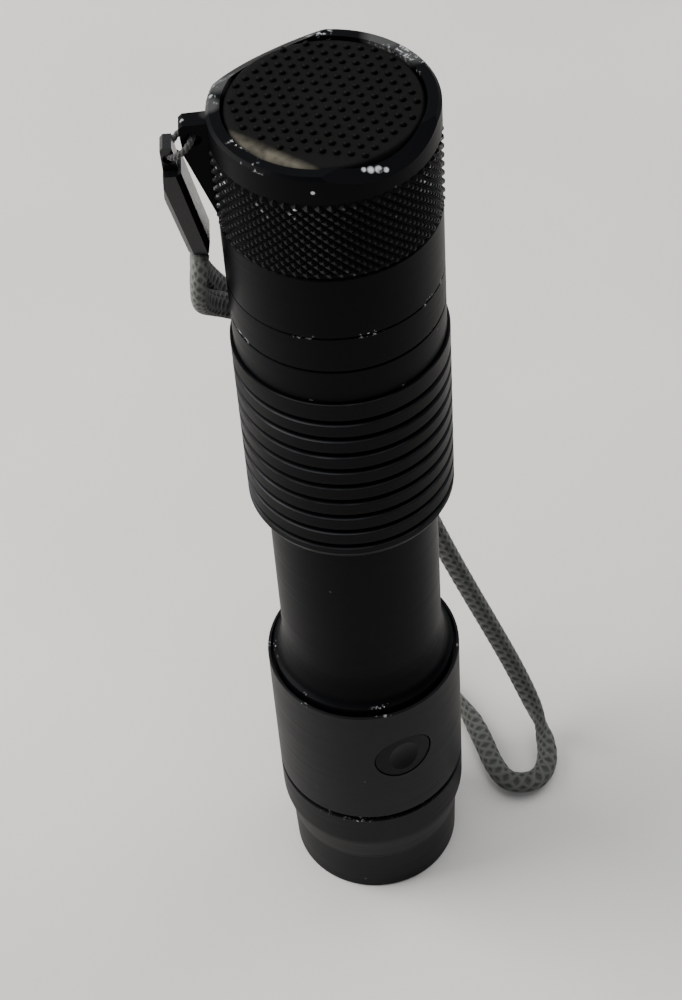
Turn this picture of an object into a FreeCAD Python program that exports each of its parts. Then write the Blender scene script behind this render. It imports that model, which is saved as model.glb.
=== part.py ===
import FreeCAD, Part
import Sketcher
import math
import os
import re

V = FreeCAD.Vector
doc = FreeCAD.newDocument("torch")

# ---------------------------------------------------------------- sizes, in mm
SIZES = [
    ("cell_radius", 13.1, "radius of one dry cell"),
    ("cell_length", 50.0, "length of one dry cell"),
    ("cell_gap", 0.3, "room round the cells in the tube"),
    ("tube_wall", 1.17, "wall of the tube at its neck"),
    ("collar_step", 2.43, "tail collar stands this far out from the neck"),
    ("head_step", 3.18, "head stands this far out from the neck"),
    ("grip_step", 2.98, "grip stands this far out from the neck"),
    ("bezel_length", 26.3, "front ring, from its resting face"),
    ("bezel_step", 1.75, "front ring tapers in by this much"),
    ("seal_gap", 1.3, "rubber line between front ring and head"),
    ("head_length", 32.0, "head shell"),
    ("head_wall", 1.95, "wall of the head shell"),
    ("grip_length", 37.9, "rubber grip"),
    ("rib_pitch", 3.71, "distance between the grip's grooves"),
    ("rib_groove", 1.6, "width of a grip groove at its mouth"),
    ("ring_length", 6.7, "each plain ring behind the grip"),
    ("collar_length", 11.6, "plain part of the tail cap"),
    ("knurl_length", 14.9, "knurled part of the tail cap"),
    ("rim_height", 4.8, "rim above the knurling"),
    ("slide_gap", 0.3, "room round the tail pad"),
    ("press_travel", 2.0, "travel of the tail pad"),
    ("button_radius", 5.45, "side button"),
    ("button_gap", 0.25, "room round the side button"),
    ("button_travel", 0.8, "travel of the side button"),
    ("button_angle", -70.0, "side button, round the axis, in degrees"),
    ("lens_thick", 2.5, "front glass"),
    ("lens_recess", 2.0, "lip in front of the glass"),
    ("scoop_angle", -56.0, "first thumb scoop, round the axis, in degrees"),
    ("ear_thick", 3.0, "lanyard ear"),
    ("string_radius", 0.5, "thin string"),
    ("cord_diameter", 4.2, "wrist cord, its width"),
]
sizes = doc.addObject("Spreadsheet::Sheet", "sizes")
for row, (name, number, note) in enumerate(SIZES, start=1):
    sizes.set("A%d" % row, name)
    sizes.set("B%d" % row, str(number))
    sizes.set("C%d" % row, note)
    sizes.setAlias("B%d" % row, name)
doc.recompute()

# levels up the axis and radii, all as sums of the sizes above
bore = "(cell_radius + cell_gap)"
neck_r = "(cell_radius + cell_gap + tube_wall)"
collar_r = "(%s + collar_step)" % neck_r
head_r = "(%s + head_step)" % neck_r
head_bore = "(%s - head_wall)" % head_r
grip_r = "(%s + grip_step)" % neck_r
thread_r = "(%s - 1.8)" % collar_r
glass_r = "(%s - 2.95)" % head_r
head_z = "(bezel_length + seal_gap)"
head_end = "(%s + head_length)" % head_z
cells_z = "(%s + 1.9)" % head_end
joint_z = "(%s + 2 * cell_length - 6.1)" % cells_z
grip_end = "(%s - 2 * ring_length - 0.4)" % joint_z
grip_z = "(%s - grip_length)" % grip_end
knurl_z = "(%s + 0.3 + collar_length)" % joint_z
rim_z = "(%s + knurl_length)" % knurl_z
top_z = "(%s + rim_height)" % rim_z
cap_bore = "(%s - 2.0)" % collar_r
inner_r = "(%s - 1.8)" % collar_r
pad_z = "(%s - 6.1)" % top_z
button_z = "(%s + 17.9)" % head_z


def linked(text):
    """The same sum, with each size read from the sheet."""
    return re.sub(r"\b([a-z]\w*)\b", r"sizes.\1", text)


def value(text):
    """The number that a sum of sizes comes to now."""
    found = sizes.evalExpression(linked(text).replace("sizes.", ""))
    return float(getattr(found, "Value", found))


def bind(thing, **sums):
    for prop, text in sums.items():
        thing.setExpression(prop.replace("__", "."), linked(text))


def plane(body, role):
    return [f for f in body.Origin.OriginFeatures if f.Role == role][0]


def outline(body, name, role, corners):
    """A closed sketch through the corners, each tied to the sheet."""
    sketch = body.newObject("Sketcher::SketchObject", name)
    sketch.AttachmentSupport = (plane(body, role), [""])
    sketch.MapMode = "FlatFace"
    spots = [V(value(a), value(b), 0) for a, b in corners]
    for i, spot in enumerate(spots):
        sketch.addGeometry(Part.LineSegment(spot, spots[(i + 1) % len(spots)]), False)
    for i in range(len(spots)):
        sketch.addConstraint(Sketcher.Constraint("Coincident", i, 2, (i + 1) % len(spots), 1))
    for i, (a, b) in enumerate(corners):
        for kind, text, spot, line in (("DistanceX", a, spots[i].x, -2), ("DistanceY", b, spots[i].y, -1)):
            if text == "0":
                sketch.addConstraint(Sketcher.Constraint("PointOnObject", i, 1, line))
            elif spot > 0:
                n = sketch.addConstraint(Sketcher.Constraint(kind, -1, 1, i, 1, spot))
                sketch.setExpression("Constraints[%d]" % n, linked(text))
            else:
                n = sketch.addConstraint(Sketcher.Constraint(kind, i, 1, -1, 1, -spot))
                sketch.setExpression("Constraints[%d]" % n, linked("0 - (%s)" % text))
    return sketch


def turned(name, corners):
    """A body turned round the axis; corners are (radius, height)."""
    body = doc.addObject("PartDesign::Body", name)
    sketch = outline(body, name + "_profile", "XZ_Plane", corners)
    turn = body.newObject("PartDesign::Revolution", name + "_turn")
    turn.Profile = sketch
    turn.ReferenceAxis = (sketch, ["V_Axis"])
    turn.Angle = 360
    body.Tip = turn
    doc.recompute()
    return body


def round_edges(body, name, radius, rings):
    """Round the circular edges that lie at the given (radius, height)."""
    tip = body.Tip
    found = []
    for n, edge in enumerate(tip.Shape.Edges, start=1):
        if isinstance(edge.Curve, Part.Circle):
            for r, z in rings:
                if abs(edge.Curve.Radius - value(r)) < 0.02 and abs(edge.Curve.Center.z - value(z)) < 0.02:
                    found.append("Edge%d" % n)
    if not found:
        raise RuntimeError(name + " finds no edge")
    fillet = body.newObject("PartDesign::Fillet", name)
    fillet.Base = (tip, found)
    fillet.Radius = value(radius)
    bind(fillet, Radius=radius)
    body.Tip = fillet
    doc.recompute()
    return fillet


def block(name, x, y, z, place):
    """A box of the given sides, standing at place once it is centred across X and Y."""
    box = doc.addObject("Part::Box", name)
    bind(box, Length=x, Width=y, Height=z)
    doc.recompute()
    box.Placement = place.multiply(FreeCAD.Placement(V(-value(x) / 2, -value(y) / 2, 0), FreeCAD.Rotation()))
    return box


def rod(name, radius, height, place):
    rod_ = doc.addObject("Part::Cylinder", name)
    bind(rod_, Radius=radius, Height=height)
    rod_.Placement = place
    return rod_


def cut(name, base, tool):
    made = doc.addObject("Part::Cut", name)
    made.Base, made.Tool = base, tool
    doc.recompute()
    return made


def fuse(name, *parts):
    made = doc.addObject("Part::MultiFuse", name)
    made.Shapes = list(parts)
    doc.recompute()
    return made


def coil(name, radius, height, pitch, wire, z):
    """A wire spring, swept along its helix."""
    helix = doc.addObject("Part::Helix", name + "_line")
    bind(helix, Radius=radius, Height=height, Pitch=pitch)
    ring = doc.addObject("Part::Circle", name + "_wire")
    bind(ring, Radius=wire)
    ring.Placement = FreeCAD.Placement(V(value(radius), 0, 0), FreeCAD.Rotation(V(1, 0, 0), 90))
    doc.recompute()
    spring = doc.addObject("Part::Sweep", name)
    spring.Sections = [ring]
    spring.Spine = (helix, [])
    spring.Solid = True
    spring.Frenet = True
    spring.Placement = FreeCAD.Placement(V(0, 0, value(z)), FreeCAD.Rotation())
    doc.recompute()
    return spring


NODES = []


def keep(thing):
    NODES.append(thing)
    return thing


def up(text):
    return FreeCAD.Placement(V(0, 0, value(text)), FreeCAD.Rotation())


# ---------------------------------------------------------------- front ring and glass
bezel_r = "(%s - bezel_step)" % head_r
bezel = turned("bezel", [
    ("%s - 1.1" % glass_r, "0"), (bezel_r, "0"), ("%s + 0.3" % bezel_r, "0.44 * bezel_length"),
    ("%s - 0.05" % head_r, "0.7 * bezel_length"), (head_r, "bezel_length"),
    ("%s - 2.35" % head_r, "bezel_length"), ("%s - 2.35" % head_r, "0.5 * bezel_length"),
    ("%s + 0.1" % glass_r, "0.5 * bezel_length"), ("%s + 0.1" % glass_r, "lens_recess"),
    ("%s - 1.1" % glass_r, "lens_recess")])
round_edges(bezel, "bezel_foot", "0.5", [("%s - 1.1" % glass_r, "0"), (bezel_r, "0")])
round_edges(bezel, "bezel_taper", "7", [("%s + 0.3" % bezel_r, "0.44 * bezel_length"),
                                        ("%s - 0.05" % head_r, "0.7 * bezel_length")])
round_edges(bezel, "bezel_back", "0.2", [(head_r, "bezel_length")])
keep(bezel)
keep(turned("bezel_o_ring", [
    ("%s - 2.3" % head_r, "bezel_length + 0.05"), ("%s - 0.9" % head_r, "bezel_length + 0.05"),
    ("%s - 0.7" % head_r, "bezel_length + 0.4"), ("%s - 0.7" % head_r, "bezel_length + seal_gap - 0.4"),
    ("%s - 0.9" % head_r, "bezel_length + seal_gap - 0.05"),
    ("%s - 2.3" % head_r, "bezel_length + seal_gap - 0.05")]))
keep(turned("lens_gasket", [
    ("%s - 1.1" % glass_r, "lens_recess + 0.02"), ("%s + 0.05" % glass_r, "lens_recess + 0.02"),
    ("%s + 0.05" % glass_r, "lens_recess + 0.8"), ("%s - 1.1" % glass_r, "lens_recess + 0.8")]))
keep(turned("lens", [
    ("0", "lens_recess + 0.82"), (glass_r, "lens_recess + 0.82"),
    (glass_r, "lens_recess + 0.82 + lens_thick"), ("0", "lens_recess + 0.82 + lens_thick")]))
mirror_z = "(lens_recess + 0.9 + lens_thick)"
board_z = "(bezel_length + 0.3)"
keep(turned("reflector", [
    ("%s - 0.9" % glass_r, mirror_z), (glass_r, mirror_z), (glass_r, mirror_z + " + 1.3"),
    ("%s - 1.3" % glass_r, mirror_z + " + 1.4"),
    ("0.86 * %s" % glass_r, "%s + 0.22 * (%s - %s)" % (mirror_z, board_z, mirror_z)),
    ("0.75 * %s" % glass_r, "%s + 0.46 * (%s - %s)" % (mirror_z, board_z, mirror_z)),
    ("0.58 * %s" % glass_r, "%s + 0.70 * (%s - %s)" % (mirror_z, board_z, mirror_z)),
    ("0.32 * %s" % glass_r, board_z + " - 1.2"), ("3.0", board_z + " - 1.2"), ("3.0", board_z + " - 1.9"),
    ("0.29 * %s" % glass_r, board_z + " - 2.1"),
    ("0.52 * %s" % glass_r, "%s + 0.68 * (%s - %s)" % (mirror_z, board_z, mirror_z)),
    ("0.69 * %s" % glass_r, "%s + 0.44 * (%s - %s)" % (mirror_z, board_z, mirror_z)),
    ("0.80 * %s" % glass_r, "%s + 0.20 * (%s - %s)" % (mirror_z, board_z, mirror_z))]))

# ---------------------------------------------------------------- light source and its driver
keep(turned("led_board", [("0", board_z), ("9.5", board_z), ("9.5", board_z + " + 1.6"),
                          ("0", board_z + " + 1.6")]))
keep(block("led_emitter", "3.5", "3.5", "0.8", up(board_z + " - 0.82")))
dome = doc.addObject("Part::Sphere", "led_dome")
bind(dome, Radius="1.5")
dome.Angle1, dome.Angle2 = -90, 0
dome.Placement = up(board_z + " - 0.84")
keep(dome)
sink_z = "(%s + 1.0)" % head_z
sink = turned("heat_sink", [
    ("0", board_z + " + 1.65"), ("%s - 2.2" % head_bore, board_z + " + 1.65"),
    ("%s - 2.2" % head_bore, sink_z + " + 0.05"), ("%s - 0.1" % head_bore, sink_z + " + 0.05"),
    ("%s - 0.1" % head_bore, sink_z + " + 4.4"), ("0", sink_z + " + 4.4")])
wire_hole = outline(sink, "wire_hole", "XY_Plane", [("10.6", "0 - 1"), ("12.6", "0 - 1"), ("12.6", "1"), ("10.6", "1")])
holes = sink.newObject("PartDesign::Pocket", "wire_holes")
holes.Profile = wire_hole
holes.Type = "ThroughAll"
holes.Midplane = True
sink.Tip = holes
doc.recompute()
pair = sink.newObject("PartDesign::PolarPattern", "wire_hole_pair")
pair.Originals = [holes]
pair.Axis = (plane(sink, "Z_Axis"), [""])
pair.Angle = 360
pair.Occurrences = 2
sink.Tip = pair
doc.recompute()
keep(sink)

facing = FreeCAD.Rotation(V(0, 0, 1), value("button_angle"))
side = FreeCAD.Placement(V(0, 0, value(button_z)), facing)
outward = FreeCAD.Placement(V(), FreeCAD.Rotation(V(0, 1, 0), 90))


def aside(reach):
    """A place on the side button's own axis, reach mm out, looking outward."""
    return side.multiply(FreeCAD.Placement(V(value(reach), 0, 0), FreeCAD.Rotation(V(0, 1, 0), 90)))


face_r = "(%s - 0.15)" % head_r
flange_r = "(%s - 1.55)" % head_bore
keep(block("side_switch_board", "11", "9", "1.0", aside(flange_r + " - 0.85 - button_travel - 2.45")))
switch_block = block("switch_block", "6", "6", "1.0", aside(flange_r + " - 0.85 - button_travel - 1.4"))
switch_nub = rod("switch_nub", "1.7", "0.35", aside(flange_r + " - 0.85 - button_travel - 0.45"))
keep(fuse("side_tact_switch", switch_block, switch_nub))
bracket_z = "(%s + 4.45)" % sink_z
bracket = doc.addObject("Part::Box", "switch_bracket")
bind(bracket, Length="1.1", Width="8", Height="%s + 5.5 - %s" % (button_z, bracket_z))
bracket.Placement = FreeCAD.Placement(V(0, 0, value(bracket_z)), facing).multiply(
    FreeCAD.Placement(V(value(flange_r + " - 0.85 - button_travel - 3.6"), -4, 0), FreeCAD.Rotation()))
keep(bracket)

drive_z = "(%s - 5.6)" % head_end
keep(turned("driver_board", [("0", drive_z), (bore + " - 0.1", drive_z), (bore + " - 0.1", drive_z + " + 1.6"),
                             ("0", drive_z + " + 1.6")]))
choke = rod("choke", "3", "2.6", FreeCAD.Placement(V(-4, 3, value(drive_z + " - 2.62")), FreeCAD.Rotation()))
keep(choke)
choke.Label = "driver_choke"
chip = block("driver_chip", "5", "4", "1.1", FreeCAD.Placement(V(3.5, 3, value(drive_z + " - 1.12")),
                                                              FreeCAD.Rotation()))
keep(chip)
keep(coil("driver_spring", "5", "%s - %s - 3.3" % (cells_z, drive_z), "1.2", "0.35", drive_z + " + 2.1"))

# ---------------------------------------------------------------- head shell
head = turned("head_turning", [
    ("%s - 2.0" % head_bore, head_z + " - 13.1"), ("%s - 2.4" % head_r, head_z + " - 13.1"),
    ("%s - 2.4" % head_r, head_z), (head_r, head_z), (head_r, head_end), ("%s - 0.5" % head_r, head_end),
    ("%s - 0.5" % head_r, head_end + " - 2"), (head_bore, head_end + " - 2"), (head_bore, sink_z),
    ("%s - 2.0" % head_bore, sink_z)])
round_edges(head, "head_edges", "0.2", [(head_r, head_z), (head_r, head_end)])
button_hole = rod("button_hole", "button_radius + button_gap", "8", aside("%s - 4" % head_r))
keep(cut("head_shell", head, button_hole))

stem = rod("button_stem", "button_radius", "%s + 1 - %s" % (head_r, flange_r), aside(flange_r))
flange = rod("button_flange", "button_radius + 0.7", "0.85", aside(flange_r + " - 0.85"))
blank = fuse("button_blank", stem, flange)
skin_out = rod("skin_out", "%s + 6" % head_r, "40", up(button_z + " - 20"))
skin_in = rod("skin_in", face_r, "44", up(button_z + " - 22"))
skin = cut("button_skin", skin_out, skin_in)
rounded = cut("button_rounded", blank, skin)
dish = doc.addObject("Part::Sphere", "button_dish")
bind(dish, Radius="16")
dish.Placement = side.multiply(FreeCAD.Placement(V(value(head_r + " + 15.35"), 0, 0), FreeCAD.Rotation()))
keep(cut("side_button", rounded, dish))

# ---------------------------------------------------------------- tube, grip and cells
tube_z = "(%s - 7.1)" % head_end
ring_groove = "(%s + ring_length - 0.05)" % grip_end
tube = turned("battery_tube", [
    (bore, tube_z), ("%s - 0.05" % head_bore, tube_z), ("%s - 0.05" % head_bore, tube_z + " + 1.7"),
    ("%s - 0.8" % head_bore, tube_z + " + 1.7"), ("%s - 0.8" % head_bore, tube_z + " + 2.9"),
    ("%s - 0.05" % head_bore, tube_z + " + 2.9"), ("%s - 0.05" % head_bore, head_end + " - 1.95"),
    ("%s - 1.15" % head_r, head_end + " - 1.95"), ("%s - 1.15" % head_r, head_end + " + 1.3"),
    ("%s + 0.95" % neck_r, head_end + " + 1.9"), (neck_r, head_end + " + 6.9"), (neck_r, grip_z + " + 1.5"),
    ("%s + 0.6" % neck_r, grip_z + " + 1.5"), ("%s + 0.6" % neck_r, grip_end + " + 0.2"),
    (collar_r, grip_end + " + 0.2"), (collar_r, ring_groove), ("%s - 0.4" % collar_r, ring_groove),
    ("%s - 0.4" % collar_r, ring_groove + " + 0.35"), (collar_r, ring_groove + " + 0.35"),
    (collar_r, joint_z), (thread_r, joint_z), (thread_r, joint_z + " + 1.3"),
    ("%s - 0.7" % thread_r, joint_z + " + 1.3"), ("%s - 0.7" % thread_r, joint_z + " + 2.5"),
    (thread_r, joint_z + " + 2.5"), (thread_r, joint_z + " + 7.4"), (bore, joint_z + " + 7.4")])
round_edges(tube, "flare_root", "2", [("%s + 0.95" % neck_r, head_end + " + 1.9")])
round_edges(tube, "flare_top", "12", [(neck_r, head_end + " + 6.9")])
round_edges(tube, "ring_edges", "0.15", [(collar_r, grip_end + " + 0.2"), (collar_r, ring_groove),
                                         (collar_r, ring_groove + " + 0.35"), (collar_r, joint_z)])
keep(tube)

grip = turned("grip_sleeve", [
    ("%s + 0.65" % neck_r, grip_z + " + 1.5"), ("%s + 0.05" % neck_r, grip_z + " + 1.4"),
    ("%s + 0.05" % neck_r, grip_z), ("%s + 1.2" % neck_r, grip_z), ("%s - 0.5" % grip_r, grip_z + " + 1.2"),
    (grip_r, grip_z + " + 2.4"), (grip_r, grip_end), ("%s + 0.65" % neck_r, grip_end)])
groove_z = "(%s - 4.1 - rib_groove / 2)" % grip_end
rib = outline(grip, "rib_profile", "XZ_Plane", [
    ("%s - 0.95" % grip_r, groove_z + " + 0.55"), ("%s - 0.35" % grip_r, groove_z + " + 0.35"),
    ("%s + 0.1" % grip_r, groove_z), ("%s + 0.1" % grip_r, groove_z + " + rib_groove"),
    ("%s - 0.35" % grip_r, groove_z + " + rib_groove - 0.35"),
    ("%s - 0.95" % grip_r, groove_z + " + rib_groove - 0.55")])
rib_cut = grip.newObject("PartDesign::Groove", "rib_cut")
rib_cut.Profile = rib
rib_cut.ReferenceAxis = (rib, ["V_Axis"])
rib_cut.Angle = 360
grip.Tip = rib_cut
doc.recompute()
ribs = grip.newObject("PartDesign::LinearPattern", "ribs")
ribs.Originals = [rib_cut]
ribs.Direction = (plane(grip, "Z_Axis"), [""])
ribs.Reversed = True
ribs.Length = value("8 * rib_pitch")
bind(ribs, Length="8 * rib_pitch")
ribs.Occurrences = 9
grip.Tip = ribs
doc.recompute()
keep(grip)

oring_mid = "(%s - 0.4)" % head_bore
for name, major, height in (("head_rear_o_ring", "%s - 0.4" % head_bore, tube_z + " + 2.3"),
                            ("tailcap_o_ring", "%s - 0.3" % thread_r, joint_z + " + 1.9")):
    seal = doc.addObject("Part::Torus", name)
    bind(seal, Radius1=major, Radius2="0.35")
    seal.Placement = up(height)
    keep(seal)

for name, start in (("cell_front", cells_z), ("cell_rear", "(%s + cell_length)" % cells_z)):
    cell = turned(name, [
        ("0", start), ("3.2", start), ("3.2", start + " + 1.5"), ("cell_radius - 1.2", start + " + 1.5"),
        ("cell_radius", start + " + 2.4"), ("cell_radius", start + " + cell_length - 0.5"),
        ("cell_radius - 0.8", start + " + cell_length - 0.1"), ("0", start + " + cell_length - 0.1")])
    keep(cell)

# ---------------------------------------------------------------- tail cap shell
cap = turned("cap_turning", [
    ("%s + 0.2" % thread_r, joint_z + " + 0.3"), (collar_r, joint_z + " + 0.3"), (collar_r, knurl_z),
    ("%s - 0.35" % collar_r, knurl_z + " + 0.2"), ("%s - 0.35" % collar_r, rim_z + " - 0.2"),
    ("%s + 0.1" % collar_r, rim_z), ("%s + 0.1" % collar_r, top_z + " - 0.5"),
    ("%s - 0.4" % collar_r, top_z), (cap_bore, top_z), (cap_bore, pad_z + " - 1.0"),
    (inner_r, pad_z + " - 1.0"), (inner_r, joint_z + " + 9"), ("%s + 0.2" % thread_r, joint_z + " + 9")])
ear_sketch = outline(cap, "ear_profile", "XZ_Plane", [
    ("0 - %s + 0.8" % collar_r, knurl_z + " + 1.2"), ("0 - %s - 0.1" % collar_r, knurl_z + " + 1.2"),
    ("0 - %s - 3.9" % collar_r, top_z + " - 7.0"), ("0 - %s - 4.2" % collar_r, top_z + " - 2.2"),
    ("0 - %s - 3.6" % collar_r, top_z + " - 1.6"), ("0 - %s + 0.8" % collar_r, top_z + " - 1.4")])
ear = cap.newObject("PartDesign::Pad", "ear")
ear.Profile = ear_sketch
ear.Length = value("ear_thick")
bind(ear, Length="ear_thick")
ear.Midplane = True
ear.Refine = False
cap.Tip = ear
doc.recompute()
ear_x = "(0 - %s - 2.2)" % collar_r
ear_z = "(%s - 4.1)" % top_z
eye = cap.newObject("Sketcher::SketchObject", "ear_eye")
eye.AttachmentSupport = (plane(cap, "XZ_Plane"), [""])
eye.MapMode = "FlatFace"
eye.addGeometry(Part.Circle(V(value(ear_x), value(ear_z), 0), V(0, 0, 1), 1.15), False)
n = eye.addConstraint(Sketcher.Constraint("DistanceX", 0, 3, -1, 1, -value(ear_x)))
eye.setExpression("Constraints[%d]" % n, linked("0 - " + ear_x))
n = eye.addConstraint(Sketcher.Constraint("DistanceY", -1, 1, 0, 3, value(ear_z)))
eye.setExpression("Constraints[%d]" % n, linked(ear_z))
n = eye.addConstraint(Sketcher.Constraint("Radius", 0, 1.25))
eye.setExpression("Constraints[%d]" % n, linked("string_radius * 2.5"))
eye_cut = cap.newObject("PartDesign::Pocket", "ear_hole")
eye_cut.Profile = eye
eye_cut.Length = 12
eye_cut.Midplane = True
cap.Tip = eye_cut
doc.recompute()

scooped = cap
for name, turn in (("scoop_front", 0), ("scoop_back", 180)):
    tool = doc.addObject("Part::Box", name + "_tool")
    bind(tool, Length="12", Width="40", Height="24")
    angle = FreeCAD.Rotation(V(0, 0, 1), value("scoop_angle") + turn)
    lean = FreeCAD.Rotation(V(0, 1, 0), -math.degrees(math.atan(3.9 / 2.3)))
    foot = angle.multVec(V(value("%s - 2.2" % collar_r), 0, value(top_z + " - 1.0")))
    tool.Placement = FreeCAD.Placement(foot, angle.multiply(lean)).multiply(
        FreeCAD.Placement(V(0, -20, -12), FreeCAD.Rotation()))
    scooped = cut(name, scooped, tool)
scooped.Label = "tailcap_shell"
keep(scooped)

# ---------------------------------------------------------------- tail switch
pad_r = "(%s - slide_gap)" % cap_bore
keep(turned("tail_pad", [
    ("0", pad_z), (pad_r, pad_z), (pad_r, top_z + " - 0.9"), (pad_r + " - 0.5", top_z + " - 0.35"),
    ("0.6 * %s" % pad_r, top_z + " + 0.05"), ("0", top_z + " + 0.2")]))
skirt_z = "(%s - press_travel - 2.6)" % pad_z
keep(turned("pad_skirt", [
    (inner_r + " - 3.6", skirt_z), (inner_r + " - 0.1", skirt_z), (inner_r + " - 0.1", skirt_z + " + 1.8"),
    (inner_r + " - 3.6", skirt_z + " + 1.8")]))
keep(turned("pad_washer", [
    ("9.8", skirt_z + " - 1.2"), (inner_r + " - 0.1", skirt_z + " - 1.2"),
    (inner_r + " - 0.1", skirt_z + " - 0.05"), ("9.8", skirt_z + " - 0.05")]))
contact_z = "(%s - 10.2)" % skirt_z
keep(turned("tail_switch_housing", [
    ("0", contact_z + " + 1.65"), (inner_r + " - 0.2", contact_z + " + 1.65"),
    (inner_r + " - 0.2", contact_z + " + 3.0"), ("9.4", contact_z + " + 3.0"), ("9.4", skirt_z + " - 1.25"),
    ("3.6", skirt_z + " - 1.25"), ("3.6", contact_z + " + 2.3"), ("0", contact_z + " + 2.3")]))
keep(turned("tail_switch_plunger", [
    ("0", contact_z + " + 2.8 + press_travel"), ("3.3", contact_z + " + 2.8 + press_travel"),
    ("3.3", pad_z + " - 0.02"), ("0", pad_z + " - 0.02")]))
keep(coil("tail_switch_spring", "5", "%s - %s + 0.2" % (pad_z, skirt_z), "1.3", "0.35",
          skirt_z + " - 0.85"))
keep(turned("tail_contact_board", [
    ("0", contact_z), (inner_r + " - 0.15", contact_z), (inner_r + " - 0.15", contact_z + " + 1.6"),
    ("0", contact_z + " + 1.6")]))
keep(turned("switch_retaining_ring", [
    (inner_r + " - 3", contact_z + " - 1.5"), (inner_r + " - 0.05", contact_z + " - 1.5"),
    (inner_r + " - 0.05", contact_z + " - 0.05"), (inner_r + " - 3", contact_z + " - 0.05")]))
keep(coil("battery_spring", "5", "%s - %s - 2 * cell_length - 1.2" % (contact_z, cells_z), "1.2", "0.35",
          "%s + 2 * cell_length + 0.75" % cells_z))

# ---------------------------------------------------------------- lanyard string and clip
eye_at = V(value(ear_x), 0, value(ear_z))
lug_at = V(value("0 - %s - 6.2" % collar_r), 0, value(top_z + " - 7.4"))
hang = (lug_at - eye_at).normalize()
loop = doc.addObject("Part::Torus", "lanyard_string")
loop.Radius1 = (lug_at - eye_at).Length / 2
bind(loop, Radius2="string_radius")
loop.Placement = FreeCAD.Placement((eye_at + lug_at) / 2, FreeCAD.Rotation(V(0, 0, 1), hang.cross(V(0, 1, 0))))
keep(loop)


def slab(name, thick, corners):
    """A flat piece, drawn from the side in X and Z, thick across Y."""
    body = doc.addObject("PartDesign::Body", name)
    sketch = outline(body, name + "_side", "XZ_Plane", corners)
    pad = body.newObject("PartDesign::Pad", name + "_pad")
    pad.Profile = sketch
    pad.Length = value(thick)
    bind(pad, Length=thick)
    pad.Midplane = True
    body.Tip = pad
    doc.recompute()
    return body


def bevel(body, name, size, pick):
    """Chamfer the straight edges that pick(edge) takes."""
    tip = body.Tip
    names = ["Edge%d" % n for n, e in enumerate(tip.Shape.Edges, start=1) if pick(e)]
    chamfer = body.newObject("PartDesign::Chamfer", name)
    chamfer.Base = (tip, names)
    chamfer.Size = value(size)
    bind(chamfer, Size=size)
    body.Tip = chamfer
    doc.recompute()
    return chamfer


def out(step):
    return "0 - %s - %s" % (collar_r, step)


lower = slab("lanyard_clip_lower", "6.4", [
    (out("4.5"), top_z + " - 9.45"), (out("7.2"), top_z + " - 9.45"), (out("7.5"), top_z + " - 14.2"),
    (out("5.0"), top_z + " - 25.0"), (out("1.9"), top_z + " - 25.0"), (out("1.6"), top_z + " - 23.4")])
bevel(lower, "clip_bevel", "0.8", lambda e: abs(e.tangentAt(e.FirstParameter).y) < 0.1 and e.Length > 6)
keep(lower)
upper = slab("clip_upper_slab", "3.2", [
    (out("4.9"), top_z + " - 9.3"), (out("7.2"), top_z + " - 9.3"), (out("7.3"), top_z + " - 5.8"),
    (out("6.8"), top_z + " - 5.2"), (out("5.5"), top_z + " - 5.2")])
lug_hole = rod("lug_hole", "string_radius * 1.7", "12", FreeCAD.Placement(
    lug_at + V(0, 6, 0), FreeCAD.Rotation(V(1, 0, 0), 90)))
clip_upper = cut("lanyard_clip_upper", upper, lug_hole)
keep(clip_upper)

# ---------------------------------------------------------------- wrist cord
# hand points of the cord's route, in mm: out of the clip, round behind the tube, down to a fold
# on the ground beside the head, back behind the head, and up to the clip again
# they are given for the tail cap and tube as drawn, and shift with them
lift = value(top_z) - 187.0
push = value(collar_r) - 17.0
ROUTE = [
    (-20.3, -2.2, 161.5), (-21.4, -2.0, 154.5), (-21.7, 2.3, 147.0), (-19.0, 10.8, 138.0),
    (-12.5, 18.6, 127.5), (-4.0, 23.6, 113.0), (4.5, 25.4, 95.0), (11.0, 25.2, 75.0),
    (16.0, 24.8, 58.5), (21.2, 24.2, 43.5), (26.2, 23.4, 30.0), (30.6, 22.4, 18.0), (34.0, 20.4, 8.4),
    (36.2, 15.8, 3.4), (36.4, 9.4, 2.7), (33.6, 4.4, 2.7), (27.6, 4.4, 2.7), (24.9, 9.4, 2.7), (23.4, 15.6, 2.7),
    (20.4, 25.0, 2.7), (14.5, 33.0, 3.2), (6.0, 36.0, 9.0), (1.0, 34.6, 22.0), (-2.4, 32.4, 40.0),
    (-4.6, 30.6, 61.0), (-6.4, 29.0, 82.0), (-8.6, 27.2, 101.0), (-12.4, 23.8, 118.0),
    (-17.2, 17.6, 132.0), (-20.6, 10.0, 144.5), (-21.6, 3.8, 153.8), (-20.3, 2.15, 161.4)]


def placed(point):
    x, y, z = point
    reach = math.hypot(x, y)
    out_by = 1.0 + push / reach if z > 20 else 1.0 + max(push, 0.0) / reach
    return V(x * out_by, y * out_by, z + lift * min(max((z - 5.0) / 155.0, 0.0), 1.0))


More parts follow.
